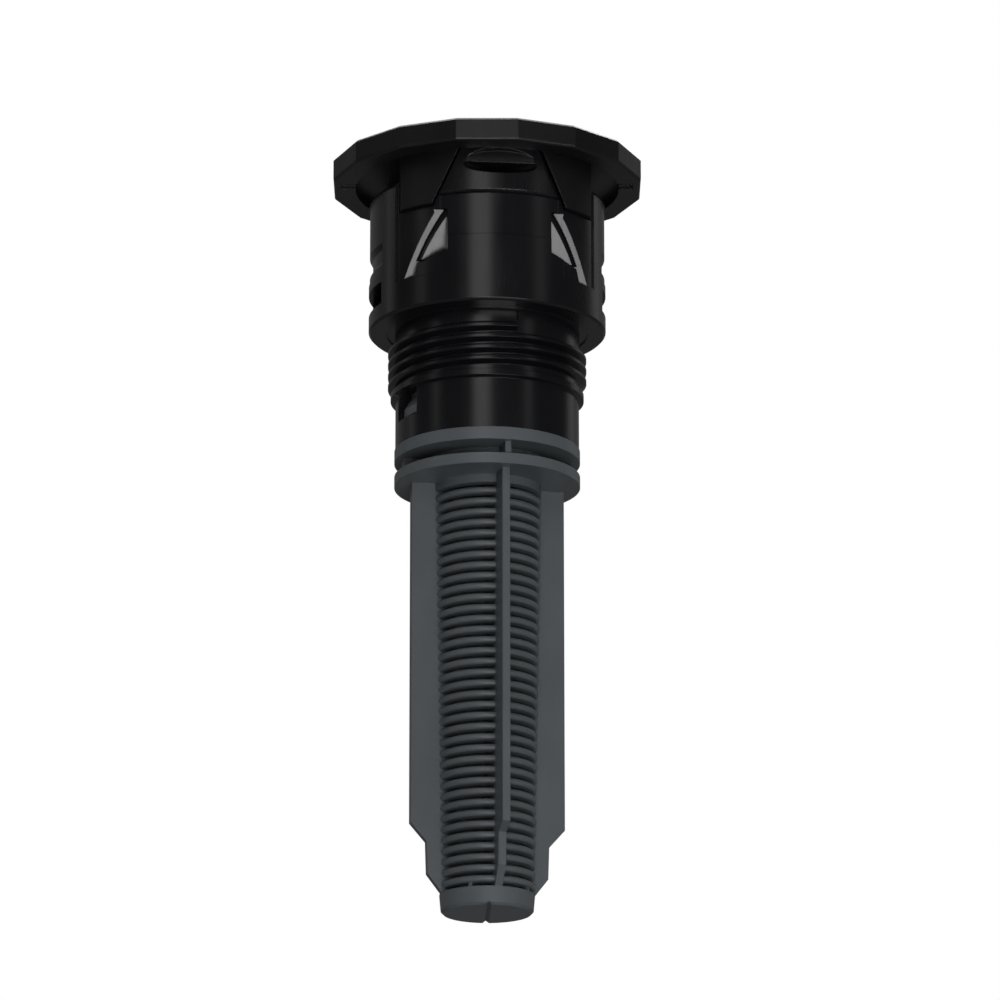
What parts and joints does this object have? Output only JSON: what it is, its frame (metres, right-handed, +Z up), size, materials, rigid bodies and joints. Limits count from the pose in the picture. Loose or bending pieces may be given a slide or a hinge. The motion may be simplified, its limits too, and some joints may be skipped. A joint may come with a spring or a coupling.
{
  "type": "pop-up sprinkler spray nozzle with filter screen",
  "caption": "Male-threaded spray nozzle for a pop-up sprinkler riser, with adjusting screw, throttle plug and a finned snap-in filter screen.",
  "frame": {"origin": "on the nozzle's axis, in the plane of the flat shoulder that seats on the riser", "axes": "+Z up along the axis towards the flange, -Y towards the front spray window"},
  "size_m": [0.0252, 0.0252, 0.0615],
  "materials": {
    "black_moulding": "satin moulded",
    "cap_moulding": "fine matt moulded",
    "insert_moulding": "satin moulded",
    "core_moulding": "satin moulded",
    "grey_moulding": "satin moulded",
    "seat_moulding": "smooth natural acetal",
    "plug_moulding": "smooth natural acetal",
    "seal_rubber": "smooth rubber",
    "stainless": "turned"
  },
  "bodies": {
    "nozzle": {"nozzle_body": "black_moulding", "flange_cap": "cap_moulding", "spray_insert_front": "insert_moulding", "spray_insert_rear": "insert_moulding", "flow_core": "core_moulding", "core_seal": "seal_rubber", "throttle_seat": "seat_moulding", "screw_seal": "seal_rubber"},
    "screw": {"radius_screw": "stainless", "screw_retainer": "stainless"},
    "plug": {"throttle_plug": "plug_moulding"},
    "filter": {"filter_screen": "grey_moulding"}
  },
  "joints": [
    {"name": "screw_turn", "type": "hinge", "parent": "nozzle", "child": "screw", "pos_m": [0, 0, 0], "axis": [0, 0, 1], "range_deg": [-1260, 0]},
    {"name": "throttle_slide", "type": "slide", "parent": "nozzle", "child": "plug", "axis": [0, 0, 1], "range_m": [0, 0.00278]},
    {"name": "filter_pull", "type": "slide", "parent": "nozzle", "child": "filter", "axis": [0, 0, -1], "range_m": [0, 0.012]}
  ],
  "couplings": [
    {"joint": "screw_turn", "follows": "throttle_slide", "rad_per_m": -7915.8}
  ]
}
